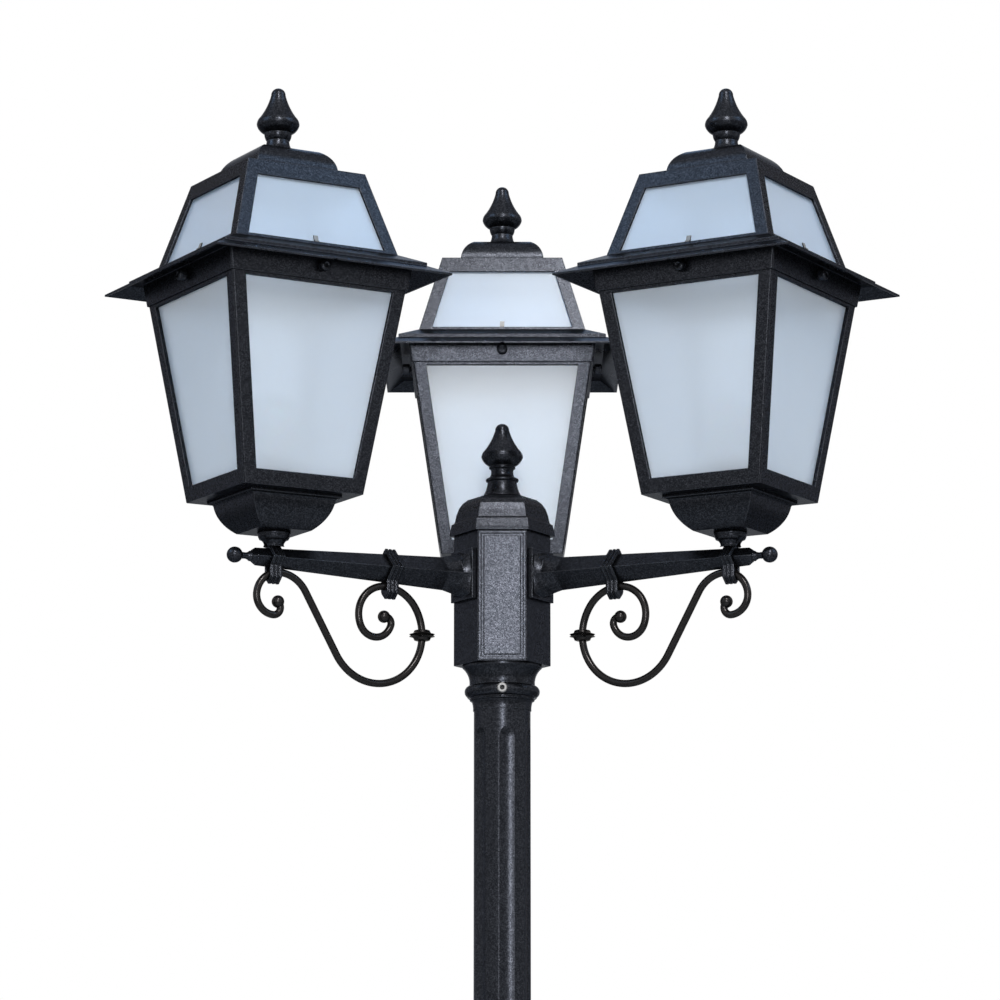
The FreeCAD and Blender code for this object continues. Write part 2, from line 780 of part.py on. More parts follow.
def make_arm(label):
    """The cast arm: flange, flare and a tapering square bar laid on its edge."""
    body = new_body(label)
    flange = box_outline("-flange_half_width", "-flange_half_height",
                         "flange_half_width", "flange_half_height")
    pad(body, new_sketch(body, "YZ", [flange], out=HUB_APOTHEM), "flange_thick")
    middle = f"{FLANGE_FACE} + 0.32 * flare_length"
    loft(body, [
        (FLANGE_FACE, flared("flange_half_width - 1.6", "flange_half_height - 2.5", 0.86)),
        (middle, flared("arm_root + 1", "arm_root + 4.2", 0.64)),
        (FLARE_END, flared("arm_root", "arm_root", 0.5)),
    ], plane="YZ")
    loft(body, [(FLARE_END, diamond("arm_root")), (ARM_END, diamond("arm_tip"))], plane="YZ")
    loft(body, [(ARM_END, diamond("arm_tip")),
                (f"{ARM_END} + arm_nose", diamond("arm_nose_half"))], plane="YZ")
    bolt_radius = "arm_bolt_radius + push_fit"
    bolt_holes = new_sketch(body, "YZ", circles=[(0, "-arm_bolt_spread", bolt_radius),
                                                 (0, "arm_bolt_spread", bolt_radius)],
                            out=HUB_APOTHEM)
    pocket(body, bolt_holes, "arm_bolt_depth + push_fit", outward=True)
    stem_hole = new_sketch(body, "XY", circles=[("arm_reach", 0, "stem_stud + push_fit")],
                           out="stem_foot_lift - stem_stud_depth - push_fit")
    pocket(body, stem_hole, outward=True)
    knob_hole = new_sketch(body, "YZ", circles=[(0, 0, "knob_stud + push_fit")],
                           out=f"{ARM_END} + arm_nose - knob_stud_length - push_fit")
    pocket(body, knob_hole, outward=True)
    return body


def make_arm_knobs():
    """The turned ball at the end of each arm."""
    body = new_body("arm_knobs", several=True)
    foot = f"{ARM_END} + arm_nose"
    neck_end = f"{foot} + knob_neck_length"
    ball_dip = "sqrt(knob_ball^2 - knob_neck^2)"
    turned(body, [
        (f"{foot} - knob_stud_length", 0),
        (f"{neck_end} + knob_ball + {ball_dip}", 0, QUARTER),
        (f"{neck_end} + {ball_dip}", "knob_ball", 0.302),
        (neck_end, "knob_neck"),
        (f"{neck_end} - 2", "knob_neck", -0.25),
        (f"{foot} + 1.5", "arm_nose_half - 0.6"),
        (foot, "arm_nose_half - 0.6"),
        (foot, "knob_stud"),
        (f"{foot} - knob_stud_length", "knob_stud"),
    ], axis="H_Axis")
    around(body, None, THREE)
    place(body, lift=ARM_AXIS, turn=REAR_FIRST)


def walk(start, heading, steps, scale):
    """Follow arcs and straights: the curves, the end point, and where the bar runs straight up."""
    curves, upright = [], None
    for length, turn in steps:
        ahead = Vector(math.cos(heading), math.sin(heading), 0)
        if length == STRAIGHT:
            end = start + ahead * turn * scale
            curves.append(Part.LineSegment(start, end))
            start = end
            continue
        radius = length * scale
        side = math.copysign(1, turn)
        centre = start + Vector(-ahead.y, ahead.x, 0) * side * radius
        new_heading = heading + math.radians(turn)
        end = centre + Vector(math.sin(new_heading), -math.cos(new_heading), 0) * side * radius
        curves.append(arc_between(start, end, math.tan(math.radians(turn) / 4)))
        goal = math.radians(RING_HEADING)
        if min(heading, new_heading) <= goal <= max(heading, new_heading):
            upright = centre + Vector(math.sin(goal), -math.cos(goal), 0) * side * radius
        start, heading = end, new_heading
    return curves, start, upright


def scroll_route():
    """The bar's centre line: its curves in order, its two ends, and the ring's place."""
    outer = Vector(size(SCROLL_OUTER), -size(arm_half(SCROLL_OUTER)) - size("bar_radius"), 0)
    inner = Vector(size(SCROLL_INNER), -size(arm_half(SCROLL_INNER)) - size("bar_radius"), 0)
    plain = walk(Vector(0, 0, 0), math.pi, SCROLL_SWEEP, 1)[1]
    span = inner - outer
    scale = span.Length / plain.Length
    tilt = math.atan2(span.y, span.x) - math.atan2(plain.y, plain.x)
    tilt = math.remainder(tilt, 2 * math.pi)
    curl, outer_eye, _ = walk(outer, tilt, OUTER_CURL, scale)
    sweep, _, upright = walk(outer, math.pi + tilt, SCROLL_SWEEP, scale)
    end_curl, inner_eye, _ = walk(inner, tilt, INNER_CURL, scale)
    route = list(reversed(curl)) + sweep + end_curl
    inside_clamps = [[curl[0], sweep[0]], [sweep[-1], end_curl[0]]]
    return route, inside_clamps, outer_eye, inner_eye, upright


ROUTE, CLAMPED, OUTER_EYE, INNER_EYE, RING_SPOT = scroll_route()


def sweep_bar(body, kind, curves, radius):
    """Sweep a round section along part of the scroll's route."""
    path = new_sketch(body, "XZ")
    path.addGeometry(curves, False)
    profile = body.newObject("Sketcher::SketchObject", "BarSection")
    profile.AttachmentSupport = [(path, "Edge1")]
    profile.MapMode = "NormalToEdge"
    draw_circle(profile, 0, 0, radius)
    bar = body.newObject(kind, "Bar")
    bar.Profile = profile
    bar.Spine = (path, [f"Edge{index + 1}" for index in range(len(curves))])
    return bar


def make_scroll(label):
    """The round bar rolled into an S scroll, with a ball at each end."""
    body = new_body(label)
    sweep_bar(body, "PartDesign::AdditivePipe", ROUTE, "bar_radius")
    for spot in (OUTER_EYE, INNER_EYE):
        ball = body.newObject("PartDesign::AdditiveSphere", "EyeBall")
        ball.Placement.Base = Vector(spot.x, 0, spot.y)
        ball.setExpression("Radius", bind("eye_radius"))
    return body


def make_scroll_rings():
    """The turned ring threaded on each scroll."""
    body = new_body("scroll_rings", several=True)
    bore = "bar_radius + ring_bore_gap"
    half = "ring_height / 2"
    lift = RING_SPOT.y
    along = RING_SPOT.x
    turned(body, [
        (bore, f"-({half})"),
        ("ring_shoulder - 2", f"-({half})"),
        ("ring_shoulder", f"0.66 - ({half})"),
        ("ring_shoulder + 1", "-ring_height / 4", -0.2),
        ("ring_rim", "-ring_height / 10"),
        ("ring_rim - 1.6", 0),
        ("ring_rim", "ring_height / 10", -0.2),
        ("ring_shoulder + 1", "ring_height / 4"),
        ("ring_shoulder", f"({half}) - 0.66"),
        ("ring_shoulder - 2", half),
        (bore, half),
    ], right=along, up=lift)
    around(body, None, THREE)
    place(body, lift=ARM_AXIS, turn=REAR_FIRST)


CLAMP_SLOPE = "1.414213562"


def clamp_hole_half(along):
    """Half the clamp's own diamond hole: the arm's widest section under the clamp, and a gap."""
    return f"{arm_half(f'{along} - clamp_width / 2')} + clamp_gap"


def clamp_outline(along, extra):
    """Outside of a clamp across the arm: a diamond over the arm, then a pointed loop below."""
    wide = f"{clamp_hole_half(along)} + {CLAMP_SLOPE} * (clamp_wall + {extra})"
    neck = f"bar_radius + clamp_gap + clamp_wall + {extra}"
    loop = f"{arm_half(along)} + 2 * bar_radius + clamp_gap + clamp_wall * 0.4 + {extra}"
    return mirrored([
        (f"({neck}) * 0.16", f"-({loop}) - 0.75 * ({neck})"),
        (neck, minus(loop)),
        (neck, f"({neck}) - ({wide})"),
        (wide, 0),
        (f"({wide}) * 0.04", f"0.96 * ({wide})"),
    ])


def clamp_hole(along):
    """Inside of a clamp: the arm's diamond above, the bar's round channel below."""
    wide = clamp_hole_half(along)
    channel = "bar_radius + clamp_gap"
    low = f"{arm_half(along)} + bar_radius + clamp_gap / 2"
    side = f"({wide}) * 0.04"
    right = [
        (channel, minus(low)),
        (channel, f"{channel} - ({wide})"),
        (wide, 0),
        (side, f"0.96 * ({wide})"),
    ]
    outline = mirrored(right)
    outline[-1] = (outline[-1][0], outline[-1][1], HALF_ROUND)
    return outline


def make_scroll_clamps():
    """Two ribbed clamps per arm tie the scroll to it."""
    body = new_body("scroll_clamps", several=True)
    for along in ("clamp_inner", "arm_reach"):
        bands = [("clamp_width", "0", "0")]
        bands += [("clamp_rib_width", f"{step} * clamp_rib_pitch", "clamp_rib")
                  for step in (-1, 0, 1)]
        for width, shift, extra in bands:
            section = new_sketch(body, "YZ", [clamp_outline(along, extra), clamp_hole(along)],
                                 out=f"{along} + {shift}")
            pad(body, section, width, both_ways=True)
    for curves in CLAMPED:
        sweep_bar(body, "PartDesign::SubtractivePipe", curves, "bar_radius + clamp_gap / 2")
    stud_hole = new_sketch(body, "XY", circles=[("arm_reach", 0, "stem_stud + push_fit")])
    pocket(body, stud_hole, outward=True)
    around(body, None, THREE)
    place(body, lift=ARM_AXIS, turn=REAR_FIRST)


def make_stem(label):
    """The turned stem, notched to sit astride the outer clamp, with a stud and a nipple."""
    body = new_body(label)
    turned(body, [
        (0, 0),
        ("stem_neck + 0.8", 0),
        ("stem_neck", "stem_height * 0.12", -0.2),
        ("stem_neck + 3.2", "stem_height * 0.45", 0),
        ("stem_ring - 1.6", "stem_height * 0.5"),
        ("stem_ring - 0.4", "stem_height * 0.66"),
        ("stem_ring", "stem_height * 0.8", 0.4),
        ("stem_ring", "stem_height"),
        (0, "stem_height"),
    ])
    ridge = f"{clamp_hole_half('arm_reach')} + {CLAMP_SLOPE} * (clamp_wall + clamp_rib)"
    apex = f"{ridge} + clamp_gap - stem_foot_lift"
    deep = "stem_height"
    notch = [(0, apex), (minus(f"{apex} + {deep}"), minus(deep)), (f"{apex} + {deep}", minus(deep))]
    pocket(body, new_sketch(body, "YZ", [notch]), both_ways=True)
    stud = new_sketch(body, "XY", circles=[(0, 0, "stem_stud")], out="-stem_stud_depth")
    pad(body, stud, f"stem_stud_depth + {apex} + 1")
    nipple = new_sketch(body, "XY", circles=[(0, 0, "nipple_radius")], out="stem_height")
    pad(body, nipple, "bowl_height + cage_floor + holder_floor * 0.7")
    return body


def make_bowl(label):
    """The square bowl under the lantern: quarter-round sides up to a square lip."""
    body = new_body(label)
    lip_foot = "bowl_height - bowl_lip_height"
    side = [
        ("bowl_bottom", 0, 0.2),
        ("bowl_swell", f"{lip_foot} - 1.5"),
        ("bowl_swell + 0.8", lip_foot),
        ("bowl_lip", f"{lip_foot} + 1.5"),
        ("bowl_lip", "bowl_height"),
    ]
    vault(body, side, "bowl_lip")
    loft(body, [
        ("bowl_wall", square("bowl_bottom - bowl_wall")),
        ("bowl_height * 0.5", square("(bowl_bottom + bowl_swell) / 2 - bowl_wall + 1")),
        (lip_foot, square("bowl_swell - bowl_wall")),
        ("bowl_height", square("bowl_swell - bowl_wall + 0.5")),
    ], cut=True)
    hole = new_sketch(body, "XY", circles=[(0, 0, "nipple_radius + push_fit")])
    pocket(body, hole, "bowl_wall", outward=True)
    return body


def vault(body, side, half):
    """A square solid with the same curved side on all four faces, from one side's outline."""
    arch = new_sketch(body, "XZ", [mirrored(side)])
    pad(body, arch, f"2 * ({half})", both_ways=True)
    spare = "5"
    low, high = side[0][1], side[-1][1]
    beyond = f"({half}) + {spare}"
    waste = side + [(side[-1][0], f"({high}) + {spare}"), (beyond, f"({high}) + {spare}"),
                    (beyond, f"({low}) - {spare}"), (side[0][0], f"({low}) - {spare}")]
    other = []
    for index in range(len(waste) - 1, -1, -1):
        before = waste[index - 1] if index else (0, 0)
        bulge = before[2] if len(before) > 2 else 0
        other.append((minus(waste[index][0]), waste[index][1], bulge))
    pocket(body, new_sketch(body, "YZ", [waste, other]), both_ways=True)


CAGE_SLOPE = "((cage_shoulder - cage_bottom) / cage_height)"
PANE_TOP = "cage_height - cage_head + glass_lap"


def cage_half(lift):
    """Half the cage's width outside at a height above its foot."""
    return f"cage_bottom + {CAGE_SLOPE} * ({lift})"


def make_cage(label):
    """The tapering body frame: floor, four angle posts, sills and a top rail."""
    body = new_body(label)
    loft(body, [(0, square("cage_bottom", "corner_cut")),
                ("cage_height", square("cage_shoulder", "corner_cut"))])
    rail = new_sketch(body, "XY", [square("cage_rail", "corner_cut")], out="cage_height")
    pad(body, rail, "cage_rail_height")
    throat = f"{cage_half(PANE_TOP)} - cage_wall"
    loft(body, [("cage_floor", square(f"{cage_half('cage_floor')} - cage_wall")),
                (PANE_TOP, square(throat))], cut=True)
    pocket(body, new_sketch(body, "XY", [square(throat)], out=PANE_TOP), outward=True)
    sill, head = "cage_sill", "cage_height - cage_head"
    window = mirrored([(f"{cage_half(sill)} - cage_post", sill),
                       (f"{cage_half(head)} - cage_post", head)])
    for plane in ("XZ", "YZ"):
        pocket(body, new_sketch(body, plane, [window]), both_ways=True)
    hole = new_sketch(body, "XY", circles=[(0, 0, "nipple_radius + push_fit")])
    pocket(body, hole, "cage_floor", outward=True)
    return body


def leaning_pane(body, foot, head, inner_half):
    """One pane against the inside of a leaning wall, on the +X side."""
    sections = []
    for lift in (foot, head):
        outer = inner_half(lift)
        wide = f"({outer}) - glass_thick - 0.5"
        sections.append((lift, box_outline(f"({outer}) - glass_thick", minus(wide), outer, wide)))
    return loft(body, sections)


def make_cage_glass(label):
    """The four tall panes."""
    body = new_body(label, several=True)
    leaning_pane(body, "cage_sill - glass_lap", PANE_TOP,
                 lambda lift: f"{cage_half(lift)} - cage_wall")
    around(body, None, 4)
    return body


def make_lampholder(label):
    """The lampholder on the cage's floor."""
    body = new_body(label)
    bore = "bulb_cap_radius + 0.08"
    mouth = "holder_height - holder_mouth_depth"
    nipple = "nipple_radius + push_fit"
    nipple_top = "holder_floor * 0.75"
    turned(body, [
        (nipple, 0),
        ("holder_foot", 0),
        ("holder_foot", "holder_flange"),
        ("holder_radius - 1", "holder_flange + 1.5"),
        ("holder_radius", "holder_height * 0.5"),
        ("holder_radius", "holder_height - 7"),
        ("holder_radius + 1.2", "holder_height - 5.5"),
        ("holder_radius + 1.2", "holder_height"),
        ("holder_mouth", "holder_height"),
        ("holder_mouth", mouth),
        (bore, mouth),
        (bore, "holder_floor"),
        (0, "holder_floor"),
        (0, nipple_top),
        (nipple, nipple_top),
    ])
    return body


def make_bulb_cap(label):
    """The bulb's screw cap."""
    body = new_body(label)
    turned(body, [
        (0, 0),
        ("bulb_contact", 0),
        ("bulb_cap_radius", "bulb_cap_height / 8"),
        ("bulb_cap_radius", "bulb_cap_height - 3"),
        ("bulb_collar", "bulb_cap_height - 2"),
        ("bulb_collar", "bulb_cap_height"),
        (0, "bulb_cap_height"),
    ])
    return body


def make_bulb_globe(label):
    """The bulb's opal globe."""
    body = new_body(label)
    middle = "bulb_height - bulb_radius"
    turned(body, [
        (0, "bulb_cap_height"),
        ("bulb_collar - 0.4", "bulb_cap_height", -0.12),
        ("bulb_radius * 0.8", f"bulb_cap_height + 0.5 * ({middle} - bulb_cap_height)", 0.14),
        ("bulb_radius", middle, QUARTER),
        (0, "bulb_height"),
    ])
    return body


ROOF_SLOPE = "((roof_foot - roof_top) / (roof_height - roof_foot_lift))"


def roof_half(lift):
    """Half the glazed roof's width outside at a height above the collar's foot."""
    return f"roof_foot - {ROOF_SLOPE} * (({lift}) - roof_foot_lift)"


def roof_inner(lift):
    return f"{roof_half(lift)} - roof_wall"


WINDOW_FOOT = "roof_foot_lift + roof_sill"
WINDOW_HEAD = "roof_height - roof_head"


def make_roof(label):
    """The lift-off roof casting: collar, overhanging eave and glazed hipped frame."""
    body = new_body(label)
    edge_foot = "collar_depth - eave_drop"
    edge_top = f"{edge_foot} + eave_edge"
    step_foot = f"{edge_top} + eave_drop - 0.5"
    step_top = f"{step_foot} + eave_step_height"
    loft(body, [
        (edge_foot, square("eave_half")),
        (edge_top, square("eave_half")),
        (step_foot, square("eave_step")),
        (step_top, square("eave_step")),
        ("roof_foot_lift", square("roof_foot")),
        ("roof_height", square("roof_top")),
    ])
    loft(body, [(edge_foot, square("eave_half - eave_skin")),
                ("collar_depth", square("eave_step - eave_skin / 2"))], cut=True)
    collar_top = f"collar_half + {CAGE_SLOPE} * collar_depth"
    loft(body, [(0, square("collar_half", "corner_cut")),
                ("collar_depth", square(collar_top, "corner_cut"))])
    inside = new_sketch(body, "XY", [square("collar_half - collar_wall")])
    ledge = "cage_rail_height + lift_gap"
    pocket(body, inside, ledge, outward=True)
    ceiling = "roof_height - roof_ceiling"
    loft(body, [
        (ledge, square("cage_rail - 5")),
        ("roof_foot_lift", square(roof_inner("roof_foot_lift"))),
        (ceiling, square(roof_inner(ceiling))),
    ], cut=True)
    window = mirrored([(f"{roof_half(WINDOW_FOOT)} - roof_bar", WINDOW_FOOT),
                       (f"{roof_half(WINDOW_HEAD)} - roof_bar", WINDOW_HEAD)])
    for plane in ("XZ", "YZ"):
        pocket(body, new_sketch(body, plane, [window]), both_ways=True)
    radius = "thumb_screw_radius + push_fit"
    screw_hole = new_sketch(body, "YZ", circles=[(0, "thumb_screw_lift", radius)])
    around(body, [pocket(body, screw_hole, outward=True)], 4)
    stud_hole = new_sketch(body, "XY", circles=[(0, 0, "finial_stud + push_fit")], out=ceiling)
    pocket(body, stud_hole, outward=True)
    return body


def make_roof_glass(label):
    """The four upper panes."""
    body = new_body(label, several=True)
    leaning_pane(body, "roof_foot_lift + 0.2", f"{WINDOW_HEAD} + glass_lap", roof_inner)
    around(body, None, 4)
    return body


def make_glass_clips(label):
    """A bent spring clip on the sill of each upper pane."""
    body = new_body(label, several=True)
    top = f"{WINDOW_FOOT} + clip_height"
    foot_half = roof_inner(WINDOW_FOOT)
    head_half = roof_inner(top)
    gap = "push_fit"
    side = [
        (f"{foot_half} + {gap}", WINDOW_FOOT),
        (f"{foot_half} + 2.4 * clip_thick", WINDOW_FOOT),
        (f"{foot_half} + 2.4 * clip_thick", f"{WINDOW_FOOT} + clip_thick"),
        (f"{foot_half} + clip_thick", f"{WINDOW_FOOT} + clip_thick"),
        (f"{head_half} + clip_thick + {gap}", top),
        (f"{head_half} + {gap}", top),
    ]
    pad(body, new_sketch(body, "XZ", [side]), "clip_width", both_ways=True)
    around(body, None, 4)
    return body


def make_roof_screws(label):
    """Four thumb screws through the collar, just clear of the cage's rail."""
    body = new_body(label, several=True)
    tip = "cage_rail + lift_gap"
    wall = f"collar_half + {CAGE_SLOPE} * (thumb_screw_lift + thumb_screw_radius + 1)"
    neck = f"{wall} + 1.4"
    head = f"{neck} + thumb_screw_head_length"
    turned(body, [
        (tip, 0),
        (head, 0),
        (head, "thumb_screw_head - 1.2"),
        (f"{head} - 1.2", "thumb_screw_head"),
        (neck, "thumb_screw_head"),
        (neck, "thumb_screw_radius + 1"),
        (wall, "thumb_screw_radius + 1"),
        (wall, "thumb_screw_radius"),
        (tip, "thumb_screw_radius"),
    ], axis="H_Axis", up="thumb_screw_lift")
    around(body, None, 4)
    return body


def make_roof_cap(label):
    """The square domed cap with quarter-round sides."""
    body = new_body(label)
    side = [
        ("roof_cap_half", 0),
        ("roof_cap_half", "roof_cap_skirt", 0.28),
        ("roof_cap_top", "roof_cap_height"),
    ]
    vault(body, side, "roof_cap_half")
    hollow = new_sketch(body, "XY", [square("roof_cap_top - roof_cap_wall")])
    pocket(body, hollow, "roof_cap_height - roof_cap_wall - finial_stud_length", outward=True)
    stud_hole = new_sketch(body, "XY", circles=[(0, 0, "finial_stud + push_fit")])
    pocket(body, stud_hole, outward=True)
    return body


def make_roof_finial(label):
    """The finial that screws the cap to the roof."""
    body = new_body(label)
    groove = "finial_widest_lift - 18.5"
    waist = "finial_widest_lift - 9.4"
    turned(body, [
        (0, "-roof_cap_height - roof_ceiling"),
        ("finial_stud", "-roof_cap_height - roof_ceiling"),
        ("finial_stud", 0),
        ("finial_foot", 0),
        ("finial_foot", 1.2, -0.22),
        ("finial_neck + 0.4", f"{groove} - 0.5"),
        ("finial_neck", groove, 0.16),
        ("finial_waist", f"{waist} - 0.9"),
        ("finial_waist - 0.5", f"{waist} - 0.4"),
    ] + finial_head("finial_waist + 0.5", waist, "finial_widest", "finial_widest_lift",
                    "finial_height"))
    place(body)
    return body


make_base()
make_pole()
make_collar()
make_set_screws()
make_hub()
make_panels()
make_hub_cap()
make_hub_finial()
make_terminal_block()
make_arm_bolts()
on_each_arm(make_arm, "arm", lift=ARM_AXIS)
make_arm_knobs()
on_each_arm(make_scroll, "scroll", lift=ARM_AXIS)
make_scroll_rings()
make_scroll_clamps()
LANTERN = [
    (make_stem, "stem", STEM_LIFT),
    (make_bowl, "bowl", BOWL_LIFT),
    (make_cage, "cage", CAGE_LIFT),
    (make_cage_glass, "cage_glass", CAGE_LIFT),
    (make_lampholder, "lampholder", HOLDER_LIFT),
    (make_bulb_cap, "bulb_cap", BULB_LIFT),
    (make_bulb_globe, "bulb_globe", BULB_LIFT),
    (make_roof, "roof", ROOF_LIFT),
    (make_roof_glass, "roof_glass", ROOF_LIFT),
    (make_glass_clips, "glass_clips", ROOF_LIFT),
    (make_roof_screws, "roof_screws", ROOF_LIFT),
    (make_roof_cap, "roof_cap", ROOF_CAP_LIFT),
    (make_roof_finial, "roof_finial", FINIAL_LIFT),
]
for make, name, lift in LANTERN:
    on_each_arm(make, name, along="arm_reach", lift=lift)
doc.recompute()

CUTS = ("PartDesign::Pocket", "PartDesign::Groove", "PartDesign::SubtractiveLoft")
for item in doc.Objects:
    if "Invalid" in item.State or "Error" in item.State:
        raise RuntimeError(f"{item.Label} failed: {item.State}")
    if item.TypeId in CUTS and item.Shape.Volume > item.BaseFeature.Shape.Volume - 0.1:
        raise RuntimeError(f"{item.Label} cuts nothing")
for body in parts:
    if body.Shape.isNull() or not body.Shape.isValid():
        raise RuntimeError(f"{body.Label} has no valid shape")

os.makedirs("parts", exist_ok=True)
for body in parts:
    body.Shape.exportStep(f"parts/{body.Label}.step")
print(len(parts), "sub-parts written")
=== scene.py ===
# %% [markdown]
# # A lamp post with three glazed lanterns
# The solid model of the post is already packed as a frame: every casting, pane and screw is a
# named mesh in metres, with the ground at z = 0 and the front towards -Y. This lesson dresses
# that frame. It places the camera, mixes the finishes that the real post has, and adds the
# knurled thumb screws, whose fine ridges are easier to make here than in a solid modeller.

# %% Load the frame
import json
import math

import bmesh
import bpy
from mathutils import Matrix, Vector


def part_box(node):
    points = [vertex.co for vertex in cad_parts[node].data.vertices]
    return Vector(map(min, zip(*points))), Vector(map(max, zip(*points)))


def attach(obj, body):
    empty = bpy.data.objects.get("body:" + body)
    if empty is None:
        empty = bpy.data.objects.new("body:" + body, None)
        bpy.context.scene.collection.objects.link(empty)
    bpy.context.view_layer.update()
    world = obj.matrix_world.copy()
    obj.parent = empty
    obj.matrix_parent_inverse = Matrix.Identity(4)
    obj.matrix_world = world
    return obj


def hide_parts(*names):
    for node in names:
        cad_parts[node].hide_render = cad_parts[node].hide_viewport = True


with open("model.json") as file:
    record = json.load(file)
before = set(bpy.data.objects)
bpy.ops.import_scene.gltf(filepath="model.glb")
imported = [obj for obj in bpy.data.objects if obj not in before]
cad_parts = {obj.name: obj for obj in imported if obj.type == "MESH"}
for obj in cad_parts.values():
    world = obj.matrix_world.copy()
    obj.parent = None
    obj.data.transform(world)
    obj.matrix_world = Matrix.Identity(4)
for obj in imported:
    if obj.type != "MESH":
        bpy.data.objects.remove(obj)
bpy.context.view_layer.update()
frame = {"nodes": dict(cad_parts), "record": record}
nodes = frame["nodes"]
SIDES = ("rear", "left", "right")

# %% [markdown]
# ## The camera
# The picture of the post was taken from about four and a half metres away, below the lanterns
# and looking up at them with a long lens. A camera can be aimed with a constraint, but plain
# numbers for its place, its tilt and its lens keep the view steady, and a tiny sideways shift
# sets the post where it stands in the picture.

# %% Place the camera
CAMERA_DISTANCE = 4.4007
CAMERA_HEIGHT = 1.4554
CAMERA_TILT = 0.18
LENS_MM = 146.2
SENSOR_MM = 36.0
CENTRE_SHIFT = -0.0022
FARTHEST_SEEN = 100

camera_data = bpy.data.cameras.new("camera")
camera_data.sensor_width = SENSOR_MM
camera_data.lens = LENS_MM
camera_data.shift_x = CENTRE_SHIFT
camera_data.clip_end = FARTHEST_SEEN
camera = bpy.data.objects.new("camera", camera_data)
camera.location = (0, -CAMERA_DISTANCE, CAMERA_HEIGHT)
camera.rotation_euler = (math.pi / 2 + CAMERA_TILT, 0, 0)
bpy.context.scene.collection.objects.link(camera)
bpy.context.scene.camera = camera
bpy.context.scene.view_settings.view_transform = "Standard"
print("camera at", tuple(round(v, 3) for v in camera.location))

# %% [markdown]
# ## Node helpers
# A finish is a small graph of shader nodes. A few helpers keep the graphs short to write. The
# first adds any node and sets its sockets, either to a value or to another node's output. The
# others are the four steps that nearly every finish needs: where a point is on its piece, a
# noise, a range of values and a mix of two colours.


# %% Helper: add a node
def add_node(tree, kind, name="", values=None, **settings):
    """A new node. values maps a socket's name or number to a value or an output socket."""
    node = tree.nodes.new(kind)
    node.name = node.label = name or kind
    for key, value in settings.items():
        setattr(node, key, value)
    for key, value in (values or {}).items():
        if isinstance(value, bpy.types.NodeSocket):
            tree.links.new(value, node.inputs[key])
        else:
            node.inputs[key].default_value = value
    return node


print("helper add_node ready")


# %% Helpers: place, noise, range and mixed colour
def place_on(tree):
    """The piece's own coordinates, so that a pattern stays on a piece that moves."""
    return add_node(tree, "ShaderNodeTexCoord", "place").outputs["Object"]


def noise(tree, name, place, scale, detail, **more):
    """A noise, as a grey value."""
    values = {"Vector": place, "Scale": scale, "Detail": detail, **more}
    return add_node(tree, "ShaderNodeTexNoise", name, values).outputs["Fac"]


def between(tree, name, value, low, high):
    """Stretches a value from 0 to 1 so that it runs from low to high."""
    values = {"Value": value, "To Min": low, "To Max": high}
    return add_node(tree, "ShaderNodeMapRange", name, values).outputs["Result"]


def mixed(tree, name, amount, first, second, **settings):
    """A colour on the way from the first to the second."""
    values = {0: amount, 6: first, 7: second}
    return add_node(tree, "ShaderNodeMix", name, values, data_type="RGBA", **settings).outputs[2]


print("helpers for place, noise, range and colour ready")

# %% [markdown]
# ## Material and group helpers
# Every material starts from the Principled shader, and only its plain values differ. What
# changes over a surface is its colour, its roughness and its relief, so one helper joins those
# three to the shader. An effect that several finishes need is worth a node group with named
# inputs and outputs, which is drawn once and then placed with other values.


# %% Helpers: start and finish a material
def new_material(name, **sockets):
    """A material with its Principled shader's plain values set by socket name."""
    material = bpy.data.materials.new(name)
    material.use_nodes = True
    shader = material.node_tree.nodes["Principled BSDF"]
    for label, value in sockets.items():
        shader.inputs[label.replace("_", " ")].default_value = value
    return material, material.node_tree, shader


def relief(tree, height, strength, distance, **more):
    """The direction that the surface faces once a height has dented it."""
    values = {"Height": height, "Strength": strength, "Distance": distance, **more}
    return add_node(tree, "ShaderNodeBump", "relief", values).outputs["Normal"]


def varied(tree, shader, colour, roughness, normal):
    """Joins what changes over the surface to the shader."""
    tree.links.new(colour, shader.inputs["Base Color"])
    tree.links.new(roughness, shader.inputs["Roughness"])
    tree.links.new(normal, shader.inputs["Normal"])


print("material helpers ready")


# %% Helpers: make and place a node group
FLOAT, VECTOR = "NodeSocketFloat", "NodeSocketVector"


def new_group(name, inputs, outputs):
    """An empty shader node group: inputs are (name, type, default), outputs (name, type)."""
    group = bpy.data.node_groups.new(name, "ShaderNodeTree")
    for label, kind, default in inputs:
        socket = group.interface.new_socket(label, in_out="INPUT", socket_type=kind)
        socket.default_value = default
    for label, kind in outputs:
        group.interface.new_socket(label, in_out="OUTPUT", socket_type=kind)
    return group, add_node(group, "NodeGroupInput", "in"), add_node(group, "NodeGroupOutput", "out")


def grouped(tree, group, name, values):
    """Places a node group in a material with its own values."""
    node = tree.nodes.new("ShaderNodeGroup")
    node.node_tree = group
    node.name = node.label = name
    for key, value in values.items():
        node.inputs[key].default_value = value
    return node


print("group helpers ready")

# %% [markdown]
# ## Powder-coat grain
# Outdoor castings are powder coated: the paint is baked on as dust, so it dries with a fine
# pebbled skin. One way to show that is real displacement, but the grain is under a millimetre,
# so a height for a Bump node does the same at no cost. Two sizes of noise are added together,
# because one size alone looks like a regular pattern.

# %% Group: powder grain
PEBBLES_PER_M = 900.0
WAVES_PER_M = 34.0
WAVINESS = 0.4


